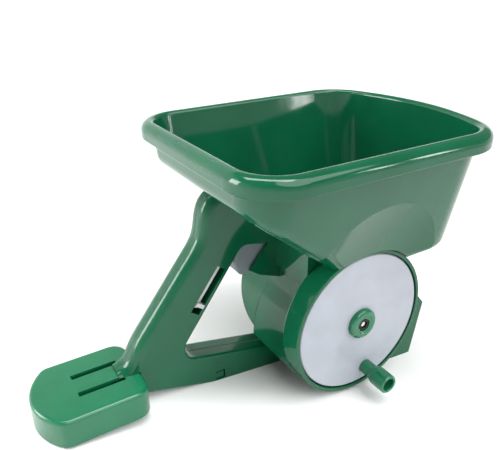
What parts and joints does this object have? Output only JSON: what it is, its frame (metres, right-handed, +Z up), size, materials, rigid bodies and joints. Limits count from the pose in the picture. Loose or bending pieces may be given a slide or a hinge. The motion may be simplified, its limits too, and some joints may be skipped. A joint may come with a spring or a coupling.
{
  "type": "hand-held crank spreader",
  "caption": "Hand-held crank spreader with a green hopper, pistol grip with trigger-worked outlet gate, grey geared crank wheel with knob, and a rear rest pad.",
  "frame": {"origin": "centre of the rear pad's flat underside", "axes": "+X towards the discharge chute, +Y away from the crank wheel, +Z up through the hopper's open top"},
  "size_m": [0.3715, 0.204, 0.2255],
  "materials": {
    "hopper_green": "gloss",
    "body_green": "gloss",
    "pad_green": "gloss",
    "wheel_grey": "satin",
    "gear_white": "satin",
    "impeller_grey": "satin",
    "trigger_grey": "satin",
    "slider_grey": "satin",
    "gate_black": "satin",
    "steel": "satin",
    "screw_zinc": "satin"
  },
  "bodies": {
    "root": {"hopper": "hopper_green", "body_near_half": "body_green", "body_far_half": "body_green", "pad_shell": "pad_green", "pad_base": "pad_green", "axle": "steel", "crank_washer": "steel", "crank_screw": "steel", "shaft_bush": "gear_white", "thrust_washer": "gear_white", "idler_pins": "steel", "idler_clips": "steel", "trigger_pin": "steel", "trigger_spring": "steel", "gate_guides": "body_green", "body_screws": "screw_zinc", "hopper_screws": "screw_zinc"},
    "crank": {"crank_wheel": "wheel_grey", "crank_hub_cap": "body_green", "ring_gear": "gear_white", "knob_pin": "gear_white"},
    "knob": {"crank_knob": "body_green"},
    "idler_a": {"idler_gear_a": "gear_white"},
    "idler_b": {"idler_gear_b": "gear_white"},
    "impeller": {"impeller": "impeller_grey", "impeller_shaft": "gear_white", "sun_pinion": "gear_white"},
    "trigger": {"trigger": "trigger_grey", "gate_link_pin": "steel"},
    "gate": {"gate_plate": "gate_black"},
    "slider": {"flow_slider": "slider_grey"}
  },
  "joints": [
    {"name": "crank_spin", "type": "hinge", "parent": "root", "child": "crank", "pos_m": [0.207, 0, 0.041], "axis": [0, 1, 0], "continuous": true},
    {"name": "knob_spin", "type": "hinge", "parent": "crank", "child": "knob", "pos_m": [0.2158, -0.086, -0.0061], "axis": [0, 1, 0], "continuous": true},
    {"name": "idler_a_spin", "type": "hinge", "parent": "root", "child": "idler_a", "pos_m": [0.24, -0.062, 0.041], "axis": [0, 1, 0], "continuous": true},
    {"name": "idler_b_spin", "type": "hinge", "parent": "root", "child": "idler_b", "pos_m": [0.174, -0.062, 0.041], "axis": [0, 1, 0], "continuous": true},
    {"name": "impeller_spin", "type": "hinge", "parent": "root", "child": "impeller", "pos_m": [0.207, 0, 0.041], "axis": [0, 1, 0], "continuous": true},
    {"name": "trigger_pull", "type": "hinge", "parent": "root", "child": "trigger", "pos_m": [0.145, 0, 0.113], "axis": [0, 1, 0], "range_deg": [0, 16], "stiffness_Nm_per_rad": 0.04, "springref_deg": -20.05, "deforming": ["trigger_spring"]},
    {"name": "gate_slide", "type": "slide", "parent": "root", "child": "gate", "axis": [1, 0, 0], "range_m": [-0.0088, 0]},
    {"name": "stop_slide", "type": "slide", "parent": "root", "child": "slider", "axis": [0.5948, 0, 0.8039], "range_m": [-0.005, 0.02]}
  ],
  "couplings": [
    {"joint": "idler_a_spin", "follows": "crank_spin", "ratio": 2.5714},
    {"joint": "idler_b_spin", "follows": "crank_spin", "ratio": 2.5714},
    {"joint": "impeller_spin", "follows": "crank_spin", "ratio": -4.5},
    {"joint": "gate_slide", "follows": "trigger_pull", "m_per_rad": -0.03035}
  ]
}
